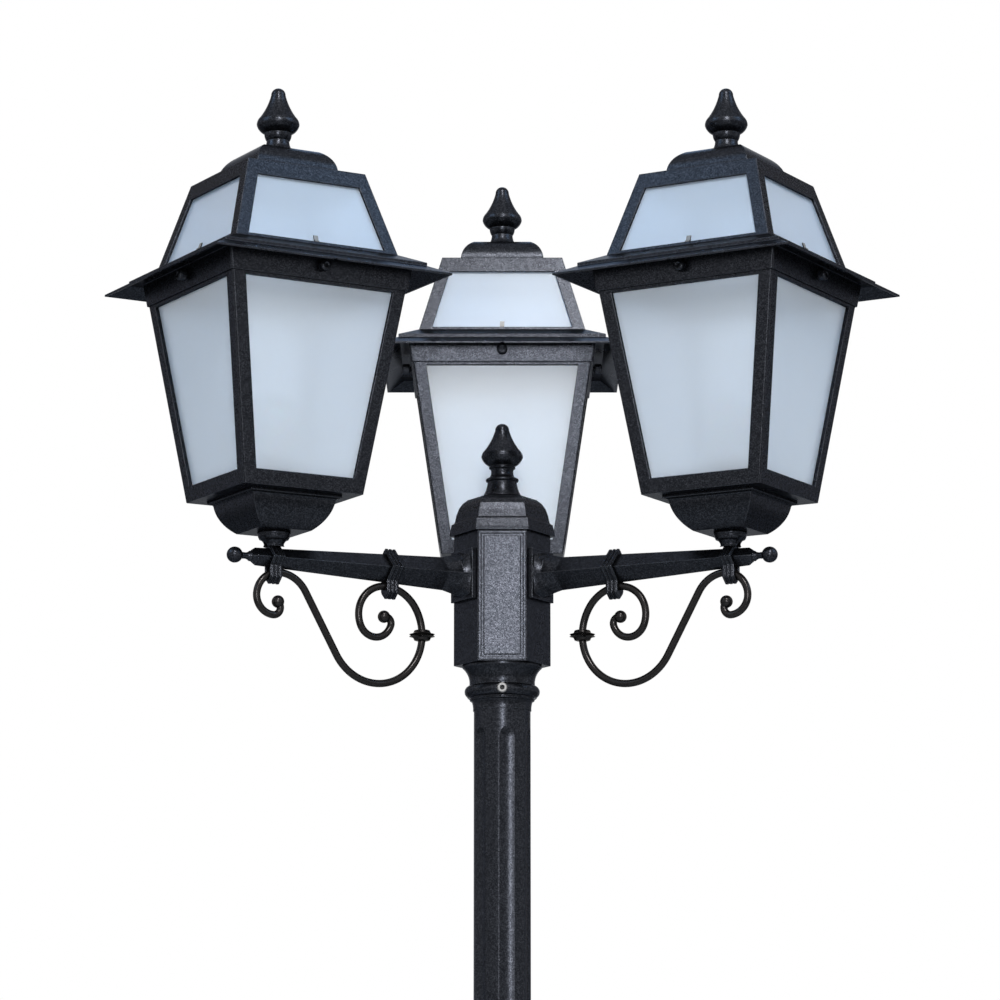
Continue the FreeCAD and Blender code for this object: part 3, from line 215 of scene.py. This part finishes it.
def powder_grain():
    group, into, out = new_group(
        "powder grain", [("Size", FLOAT, PEBBLES_PER_M), ("Waviness", FLOAT, WAVINESS)],
        [("Height", FLOAT), ("Mottle", FLOAT)])
    place = place_on(group)
    pebbles = noise(group, "pebbles", place, into.outputs["Size"], 2.0, Roughness=0.6)
    waves = noise(group, "waves", place, WAVES_PER_M, 3.0, Roughness=0.55)
    swell = add_node(group, "ShaderNodeMath", "swell",
                     {0: waves, 1: into.outputs["Waviness"]}, operation="MULTIPLY")
    height = add_node(group, "ShaderNodeMath", "height",
                      {0: pebbles, 1: swell.outputs[0]}, operation="ADD")
    group.links.new(height.outputs[0], out.inputs["Height"])
    group.links.new(waves, out.inputs["Mottle"])
    return group


POWDER_GRAIN = powder_grain()
print("made", POWDER_GRAIN.name)

# %% [markdown]
# ## Metallic fleck
# The anthracite coat is full of tiny flakes of metal, and each lies at its own tilt, so the coat
# sparkles faintly. Each cell of a Voronoi texture gets its own random number, which stands for
# how well that flake faces the light. A power bends the numbers, so most flakes stay dull and
# only a few are bright.

# %% Group: metallic fleck
FLAKES_PER_M = 1100.0
FLAKE_RARITY = 2.0


def metallic_fleck():
    group, into, out = new_group(
        "metallic fleck", [("Size", FLOAT, FLAKES_PER_M), ("Rarity", FLOAT, FLAKE_RARITY)],
        [("Mask", FLOAT)])
    cells = add_node(group, "ShaderNodeTexVoronoi", "flakes",
                     {"Vector": place_on(group), "Scale": into.outputs["Size"]})
    pick = add_node(group, "ShaderNodeSeparateColor", "pick", {"Color": cells.outputs["Color"]})
    mask = add_node(group, "ShaderNodeMath", "mask",
                    {0: pick.outputs["Red"], 1: into.outputs["Rarity"]}, operation="POWER")
    group.links.new(mask.outputs[0], out.inputs["Mask"])
    return group


METALLIC_FLECK = metallic_fleck()
print("made", METALLIC_FLECK.name)

# %% [markdown]
# ## Edge highlight and rounding
# A thin line of light is painted along the edges: a painted highlight in a lighter colour. A Bevel
# node gives the direction that the surface would face if its edges were rounded. Where that
# differs from the true direction there is an edge, and the difference makes the mask for the
# painted highlight, broken up by a noise. The rounded direction is used as well, because no cast
# edge is knife sharp and a rounded one catches a line of light.

# %% Group: edge highlight and rounding
EDGE_WIDTH = 0.0012
HIGHLIGHT_PATCHES_PER_M = 60.0
FLAT_AGREEMENT = 0.985
EDGE_AGREEMENT = 0.86


def edge_highlight_and_rounding():
    group, into, out = new_group(
        "edge highlight and rounding", [("Width", FLOAT, EDGE_WIDTH), ("Breakup", FLOAT, HIGHLIGHT_PATCHES_PER_M)],
        [("Mask", FLOAT), ("Rounded", VECTOR)])
    bevel = add_node(group, "ShaderNodeBevel", "rounded",
                     {"Radius": into.outputs["Width"]}, samples=6)
    true = add_node(group, "ShaderNodeNewGeometry", "surface").outputs["Normal"]
    facing = add_node(group, "ShaderNodeVectorMath", "agreement",
                      {0: bevel.outputs["Normal"], 1: true}, operation="DOT_PRODUCT")
    patches = noise(group, "patches", place_on(group), into.outputs["Breakup"], 3.0)
    # the edge mask says where the painted highlight goes
    edge_highlight = add_node(group, "ShaderNodeMapRange", "edge_highlight",
                    {"Value": facing.outputs["Value"],
                     "From Min": FLAT_AGREEMENT, "From Max": EDGE_AGREEMENT})
    mask = add_node(group, "ShaderNodeMath", "mask",
                    {0: edge_highlight.outputs["Result"], 1: patches}, operation="MULTIPLY")
    group.links.new(mask.outputs[0], out.inputs["Mask"])
    group.links.new(bevel.outputs["Normal"], out.inputs["Rounded"])
    return group


EDGE_HIGHLIGHT_AND_ROUNDING = edge_highlight_and_rounding()
print("made", EDGE_HIGHLIGHT_AND_ROUNDING.name)

# %% [markdown]
# ## The coat of the castings
# The post, the arms and the lantern frames are one finish: an anthracite, nearly black, satin
# powder coat with a fine metal fleck. Such a coat is dark seen from the side and bright where it
# mirrors a lamp, which is what a dark metal does, so Metallic is high and Base Color is low. A
# dark Specular Tint keeps the faces that are seen at a slant from turning pale, and a lighter
# colour along the edges is a painted highlight. The scrolls are bent from round bar and have a
# smoother, plainer black, so they are the same recipe with other values.


# %% Helper: a powder coat
COAT_METALLIC = 0.85
COAT_WAVINESS = 0.35
PEBBLE_HEIGHT = 0.0004
SMOOTHEST, ROUGHEST = -0.03, 0.05


def powder_coat(name, dull, bright, edge_highlight, tint, roughness, grain, bump, highlight_width):
    """dull and bright are the coat and its flakes; the edge colour is a painted highlight along the
    edges, and the last value is its width.
    """
    material, tree, shader = new_material(name, Metallic=COAT_METALLIC, Specular_Tint=tint)
    skin = grouped(tree, POWDER_GRAIN, "skin", {"Size": grain, "Waviness": COAT_WAVINESS})
    flakes = grouped(tree, METALLIC_FLECK, "flakes",
                     {"Size": FLAKES_PER_M, "Rarity": FLAKE_RARITY})
    edges = grouped(tree, EDGE_HIGHLIGHT_AND_ROUNDING, "edges", {"Width": highlight_width, "Breakup": HIGHLIGHT_PATCHES_PER_M})
    flecked = mixed(tree, "flecked", flakes.outputs["Mask"], dull, bright)
    # painted highlight: the lighter edge colour mixed in along the edges
    edge_lit = mixed(tree, "edge_lit", edges.outputs["Mask"], flecked, edge_highlight)
    satin = between(tree, "satin", skin.outputs["Mottle"],
                    roughness + SMOOTHEST, roughness + ROUGHEST)
    pebbled = relief(tree, skin.outputs["Height"], bump, PEBBLE_HEIGHT,
                     Normal=edges.outputs["Rounded"])
    varied(tree, shader, edge_lit, satin, pebbled)
    return material


print("helper powder_coat ready")

# %% Materials: anthracite and scroll black
ANTHRACITE = powder_coat(
    "anthracite coat", dull=(0.0092, 0.0102, 0.0130, 1), bright=(0.042, 0.0447, 0.0535, 1),
    edge_highlight=(0.10, 0.106, 0.122, 1), tint=(0.30, 0.32, 0.36, 1),
    roughness=0.27, grain=950.0, bump=0.11, highlight_width=0.0013)
SCROLL_BLACK = powder_coat(
    "scroll black", dull=(0.017, 0.0160, 0.0162, 1), bright=(0.030, 0.0285, 0.0290, 1),
    edge_highlight=(0.04, 0.0385, 0.039, 1), tint=(0.5, 0.48, 0.46, 1),
    roughness=0.22, grain=700.0, bump=0.05, highlight_width=0.0002)
print("made", ANTHRACITE.name, "and", SCROLL_BLACK.name)

# %% [markdown]
# ## Frosted panes
# Each pane is sand-blasted glass: light comes through, but shapes behind it melt away within a
# few centimetres, so the lampholder is only a soft shadow low down. Rough transmission in the
# Principled shader does that. The tint is a pale grey-blue. The upper panes lean back under the
# sky and get a deeper, bluer tint of their own, painted shade for the dark roof space behind them
# and a painted reflection of the blue sky. A very fine bump keeps the surface from looking like
# plastic.

# %% Material: frosted glass
GLASS_IOR = 1.45
GLASS_SHINE = 0.2
LIGHT_THROUGH = 0.62
FROST = (0.27, 0.29)
CLOUDS_PER_M = 9.0
BLAST_PITS_PER_M = 1400.0
BLAST_BUMP = 0.12
FINE_RELIEF = 0.0003


def frosted_glass(name, tint, marks):
    material, tree, shader = new_material(
        name, IOR=GLASS_IOR, Specular_IOR_Level=GLASS_SHINE, Transmission_Weight=LIGHT_THROUGH)
    place = place_on(tree)
    cloud = noise(tree, "cloud", place, CLOUDS_PER_M, 4.0)
    pits = noise(tree, "blasting", place, BLAST_PITS_PER_M, 2.0)
    film = mixed(tree, "film", cloud, tint, marks)
    frost = between(tree, "frost", cloud, *FROST)
    varied(tree, shader, film, frost, relief(tree, pits, BLAST_BUMP, FINE_RELIEF))
    return material


FROSTED_GLASS = frosted_glass("frosted glass", (0.81, 0.88, 0.95, 1), (0.77, 0.84, 0.93, 1))
# painted shade and painted sky reflection: a deeper, bluer tint for the roof panes
UPPER_GLASS = frosted_glass("upper frosted glass", (0.70, 0.79, 0.90, 1), (0.62, 0.73, 0.87, 1))
print("made", FROSTED_GLASS.name, "and", UPPER_GLASS.name)

# %% [markdown]
# ## Small finishes
# The bulb's globe is opal glass, which scatters light inside it, its cap is bright aluminium,
# the lampholder is black heat-proof plastic and the terminal block is cream plastic. They are
# too small to need groups of their own, so one recipe gives each a slight unevenness of tone,
# sheen and surface from a single noise.

# %% Materials: the small pieces
TONE_SPREAD = (0.86, 1.08)
SLIGHT_BUMP = 0.1


def plain_finish(name, colour, roughness, spread, grain, metallic=0.0, **more):
    material, tree, shader = new_material(name, Metallic=metallic, **more)
    marks = noise(tree, "marks", place_on(tree), grain, 4.0)
    tone = between(tree, "tone", marks, *TONE_SPREAD)
    shade = mixed(tree, "shade", 1.0, (*colour, 1), tone, blend_type="MULTIPLY")
    sheen = between(tree, "sheen", marks, roughness - spread, roughness + spread)
    varied(tree, shader, shade, sheen, relief(tree, marks, SLIGHT_BUMP, FINE_RELIEF))
    return material


OPAL = plain_finish("opal glass", (0.86, 0.86, 0.83), 0.22, 0.03, 40.0,
                    Coat_Weight=0.5, Subsurface_Weight=0.4, Subsurface_Scale=0.01)
BULB_METAL = plain_finish("bulb cap metal", (0.66, 0.66, 0.65), 0.3, 0.08, 500.0, metallic=1.0)
HOLDER_PLASTIC = plain_finish("holder plastic", (0.018, 0.018, 0.018), 0.46, 0.06, 300.0)
TERMINAL_PLASTIC = plain_finish("terminal plastic", (0.62, 0.6, 0.52), 0.42, 0.05, 300.0)
print("made four small finishes")

# %% [markdown]
# ## Weathered steel
# The set screws, the arms' bolts and the pane clips are plain stainless steel that has stood in
# the rain. Their faces are dull grey, and painted shade darkens the screws' hexagon sockets. An
# Ambient Occlusion node measures how shut in a point is, which makes the mask for that painted
# shade.

# %% Material: weathered steel
DARK_STEEL, PALE_STEEL = (0.13, 0.13, 0.132, 1), (0.24, 0.24, 0.242, 1)
SOCKET_SHADE = (0.004, 0.004, 0.0045, 1)
SOCKET_REACH = 0.004
OPEN_AIR, SHUT_IN = 0.9, 0.55
STEEL_SHEEN = (0.42, 0.58)


def weathered_steel():
    material, tree, shader = new_material("weathered steel", Metallic=1.0)
    marks = noise(tree, "marks", place_on(tree), 700.0, 4.0)
    shut_in = add_node(tree, "ShaderNodeAmbientOcclusion", "shut in",
                       {"Distance": SOCKET_REACH}, samples=8)
    # painted shade: the mask of shut-in points, where near-black is mixed in
    socket_shade = add_node(tree, "ShaderNodeMapRange", "socket_shade",
                    {"Value": shut_in.outputs["AO"], "From Min": OPEN_AIR, "From Max": SHUT_IN})
    bare_steel = mixed(tree, "bare_steel", marks, DARK_STEEL, PALE_STEEL)
    # painted shade mixed into the steel colour in the sockets
    socket_shaded = mixed(tree, "socket_shaded", socket_shade.outputs["Result"], bare_steel, SOCKET_SHADE)
    sheen = between(tree, "sheen", marks, *STEEL_SHEEN)
    varied(tree, shader, socket_shaded, sheen, relief(tree, marks, SLIGHT_BUMP, FINE_RELIEF))
    return material


STAINLESS = weathered_steel()
print("made", STAINLESS.name)

# %% [markdown]
# ## Dress the frame
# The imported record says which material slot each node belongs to. Dressing the nodes by name
# would work too, but a table from slot to finish does all of them in one loop, so no piece can
# be forgotten. Only the panes in the roofs differ from their slot's finish.

# %% Give every node its finish
FINISH = {
    "coat": ANTHRACITE, "scroll_coat": SCROLL_BLACK, "frosted_glass": FROSTED_GLASS,
    "opal_glass": OPAL, "bulb_metal": BULB_METAL, "holder_plastic": HOLDER_PLASTIC,
    "terminal_plastic": TERMINAL_PLASTIC, "bright_steel": STAINLESS,
}
for entry in frame["record"]["subparts"]:
    mesh = nodes[entry["node"]].data
    mesh.materials.clear()
    in_roof = entry["node"].endswith("_roof_glass")
    mesh.materials.append(UPPER_GLASS if in_roof else FINISH[entry["material_slot"]])

# %% [markdown]
# ## Knurled thumb screws
# Each roof is held by four thumb screws, one through each side of its collar. A finger grips
# such a head by its knurl: fine ridges cut round the rim. The solid model has only the plain
# turned head, because so many ridges are heavy there. Here a ring of points is drawn once, with
# every second point pulled in for a groove, and the rings are bridged from the tip to the head.

# %% Helper: a turned piece with a knurled rim
RIDGES = 22
GROOVE = 0.00045


def knurled_rings(shape, profile, place, outward):
    """Bridges rings round a radial axis. profile holds (distance, radius, grooved)."""
    across = Vector((-outward.y, outward.x, 0))
    rings = []
    for distance, radius, grooved in profile:
        ring = []
        for step in range(2 * RIDGES):
            turn = math.pi * step / RIDGES
            reach = radius - GROOVE * (grooved and step % 2)
            round_axis = across * math.cos(turn) + Vector((0, 0, math.sin(turn)))
            ring.append(shape.verts.new(place + outward * distance + round_axis * reach))
        rings.append(ring)
    for near, far in zip(rings, rings[1:]):
        for step, corner in enumerate(near):
            after = (step + 1) % len(near)
            shape.faces.new((corner, near[after], far[after], far[step]))
    shape.faces.new(rings[0][::-1])
    shape.faces.new(rings[-1])


print("helper knurled_rings ready")

# %% [markdown]
# ## The shape of one screw
# A thumb screw is turned on a lathe, so its outline says all about it: a chamfered tip, a plain
# shank, a short neck and a fat head with a shallow dish in its end. The outline is a list of
# distances and radii. The head's part of it is measured inwards from its end and its rim, so it
# fits whatever size the solid head has.

# %% Helper: the screw's outline
SCREW_TIP = 0.1014
TIP_CHAMFER = 0.0006
SHANK = 0.0025
NECK = 0.0035
NECK_LENGTH = 0.0014
HEAD_LENGTH = 0.009
RIM_CHAMFER = 0.0008
HEAD_END = [(0.0014, 0.0, True), (0.0004, 0.0011, False), (0.0, 0.0019, False),
            (0.0, 0.0034, False), (0.0006, 0.0040, False)]


def screw_outline(end, radius):
    """(distance from the lantern's axis, radius, grooved), from the tip to the head's dish."""
    head = end - HEAD_LENGTH
    neck = head - NECK_LENGTH
    outline = [
        (SCREW_TIP, SHANK - TIP_CHAMFER, False), (SCREW_TIP + TIP_CHAMFER, SHANK, False),
        (neck, SHANK, False), (neck, NECK, False), (head, NECK, False),
        (head, radius - RIM_CHAMFER, False), (head + RIM_CHAMFER, radius, True)]
    return outline + [(end - back, radius - inward, cut) for back, inward, cut in HEAD_END]


print("helper screw_outline ready, heads", 1000 * HEAD_LENGTH, "mm long")

# %% [markdown]
# ## Four screws to a lantern
# The screws stand square to the lantern's sides, and each lantern is turned to face the post.
# Their height and the size of their heads are measured from the solid screws, and the
# lantern's axis from its roof cap, so they can't drift from the frame. The plain solids are
# hidden and stay only for collision, and the new screws ride on the roof that they hold.

# %% Build the thumb screws
LANTERN_ANGLE = {"rear": 90, "left": 210, "right": 330}
screw_low, screw_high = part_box("rear_roof_screws")
SCREW_END = (screw_high[0] - screw_low[0]) / 2


def thumb_screws(side):
    low, high = (Vector(corner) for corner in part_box(side + "_roof_screws"))
    cap_low, cap_high = (Vector(corner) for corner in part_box(side + "_roof_cap"))
    axis = (cap_low + cap_high) / 2
    axis.z = (low.z + high.z) / 2
    outline = screw_outline(SCREW_END, radius=(high.z - low.z) / 2)
    shape = bmesh.new()
    for quarter in range(4):
        turn = math.radians(LANTERN_ANGLE[side] + 90 * quarter)
        knurled_rings(shape, outline, axis, Vector((math.cos(turn), math.sin(turn), 0)))
    bmesh.ops.recalc_face_normals(shape, faces=shape.faces)
    mesh = bpy.data.meshes.new(side + "_thumb_screws")
    shape.to_mesh(mesh)
    shape.free()
    mesh.materials.append(ANTHRACITE)
    piece = bpy.data.objects.new(side + "_thumb_screws", mesh)
    bpy.context.scene.collection.objects.link(piece)
    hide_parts(side + "_roof_screws")
    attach(piece, side + "_roof_lid")
    return piece


for side in SIDES:
    screws = thumb_screws(side)
    print(screws.name, "with", len(screws.data.polygons), "faces, heads",
          round(2000 * SCREW_END, 1), "mm apart")

# %% [markdown]
# ## A pale floor
# A plain pale floor shows where the post stands, because it catches the shadow. The lamps light
# only the part near the base, so a plain floor turns grey further out and ends in a hard line.
# For camera rays, the floor is therefore mixed into the same white as the sky, little by little
# with its distance from the post, and the shadow stays where it starts. The post itself is
# still lit by the true floor colour.

# %% Material: floor white
FLOOR_PALE = (0.88, 0.86, 0.83, 1)
WHITE = (1, 1, 1, 1)
FADE_FROM = 1.2
FADE_TO = 5.0


def floor_white():
    material, tree, shader = new_material("floor white", Base_Color=FLOOR_PALE, Roughness=0.9)
    place = add_node(tree, "ShaderNodeNewGeometry", "place").outputs["Position"]
    away = add_node(tree, "ShaderNodeVectorMath", "away", {0: place}, operation="LENGTH")
    far = add_node(tree, "ShaderNodeMapRange", "far",
                   {"Value": away.outputs["Value"], "From Min": FADE_FROM, "From Max": FADE_TO},
                   interpolation_type="SMOOTHSTEP")
    path = add_node(tree, "ShaderNodeLightPath", "path")
    shown = add_node(tree, "ShaderNodeMath", "shown",
                     {0: far.outputs["Result"], 1: path.outputs["Is Camera Ray"]},
                     operation="MULTIPLY")
    white = add_node(tree, "ShaderNodeEmission", "white", {"Color": WHITE, "Strength": 1.0})
    mix = add_node(tree, "ShaderNodeMixShader", "mix",
                   {0: shown.outputs[0], 1: shader.outputs[0], 2: white.outputs[0]})
    tree.links.new(mix.outputs[0], tree.nodes["Material Output"].inputs["Surface"])
    return material


FLOOR_WHITE = floor_white()
print("made", FLOOR_WHITE.name, "fading from", FADE_FROM, "to", FADE_TO, "m")

# %% Lay the floor
FLOOR_RADIUS = 14
FLOOR_CORNERS = 96


def pale_floor():
    mesh = bpy.data.meshes.new("floor")
    shape = bmesh.new()
    bmesh.ops.create_circle(shape, cap_ends=True, segments=FLOOR_CORNERS, radius=FLOOR_RADIUS)
    shape.to_mesh(mesh)
    shape.free()
    mesh.materials.append(FLOOR_WHITE)
    floor = bpy.data.objects.new("floor", mesh)
    bpy.context.scene.collection.objects.link(floor)
    return floor


floor = pale_floor()
print(floor.name, "laid,", 2 * FLOOR_RADIUS, "m across")

# %% [markdown]
# ## A plain sky
# An overcast sky lights the post softly from all round. What the camera, mirrors and glass see
# of it is white, through the Light Path node, while what lights the post stays at a plain level,
# so the black coat isn't washed out.

# %% Sky
SKY_STRENGTH = 0.3
SKY_TINT = (0.86, 0.93, 1, 1)


def plain_sky():
    world = bpy.data.worlds.new("sky")
    bpy.context.scene.world = world
    world.use_nodes = True
    tree = world.node_tree
    tree.nodes.clear()
    path = add_node(tree, "ShaderNodeLightPath", "path").outputs
    through = add_node(tree, "ShaderNodeMath", "camera or glass",
                       {0: path["Is Camera Ray"], 1: path["Is Transmission Ray"]},
                       operation="MAXIMUM")
    shown = add_node(tree, "ShaderNodeMath", "or mirror",
                     {0: through.outputs[0], 1: path["Is Glossy Ray"]}, operation="MAXIMUM")
    light = add_node(tree, "ShaderNodeBackground", "light",
                     {"Color": SKY_TINT, "Strength": SKY_STRENGTH})
    white = add_node(tree, "ShaderNodeBackground", "white", {"Color": WHITE, "Strength": 1.0})
    mix = add_node(tree, "ShaderNodeMixShader", "mix",
                   {0: shown.outputs[0], 1: light.outputs[0], 2: white.outputs[0]})
    out = add_node(tree, "ShaderNodeOutputWorld", "out")
    tree.links.new(mix.outputs[0], out.inputs["Surface"])


plain_sky()
print("sky set, lighting at", SKY_STRENGTH)

# %% [markdown]
# ## Lamps
# A satin black post shows its shape mostly by what it mirrors, so large area lamps do more for
# it than bright ones. Two pale panels in front draw light down the hub and the flutes, and three
# sky-blue ones at the sides and behind pick out the roofs. All of them aim at the lanterns and
# are hidden from the camera.

# %% Lamps
LANTERNS = (0, 0, 2.3)
WARM_WHITE, PLAIN_WHITE, SKY_BLUE = (1, 0.98, 0.95), (1, 1, 1), (0.44, 0.70, 1)
LAMPS = (
    # name, place, width and height in metres, watts, colour
    ("high panel", (0.4, -3.7, 5.5), 0.55, 1.6, 145, WARM_WHITE),
    ("low strip", (0.1, -5.2, 2.6), 0.6, 2.0, 115, PLAIN_WHITE),
    ("left sky", (-3.6, -1.2, 5.2), 2.2, 2.2, 44, SKY_BLUE),
    ("right sky", (3.6, -1.2, 5.2), 2.2, 2.2, 52, SKY_BLUE),
    ("rear panel", (0, 3.2, 6.2), 1.6, 1.6, 44, SKY_BLUE),
)


def softbox(name, spot, width, height, watts, colour):
    light = bpy.data.lights.new(name, "AREA")
    light.shape = "RECTANGLE"
    light.size, light.size_y = width, height
    light.energy = watts
    light.color = colour
    lamp = bpy.data.objects.new(name, light)
    lamp.location = spot
    lamp.rotation_euler = (Vector(LANTERNS) - Vector(spot)).to_track_quat("-Z", "Y").to_euler()
    lamp.visible_camera = False
    bpy.context.scene.collection.objects.link(lamp)


for lamp_values in LAMPS:
    softbox(*lamp_values)
print(len(LAMPS), "lamps placed")
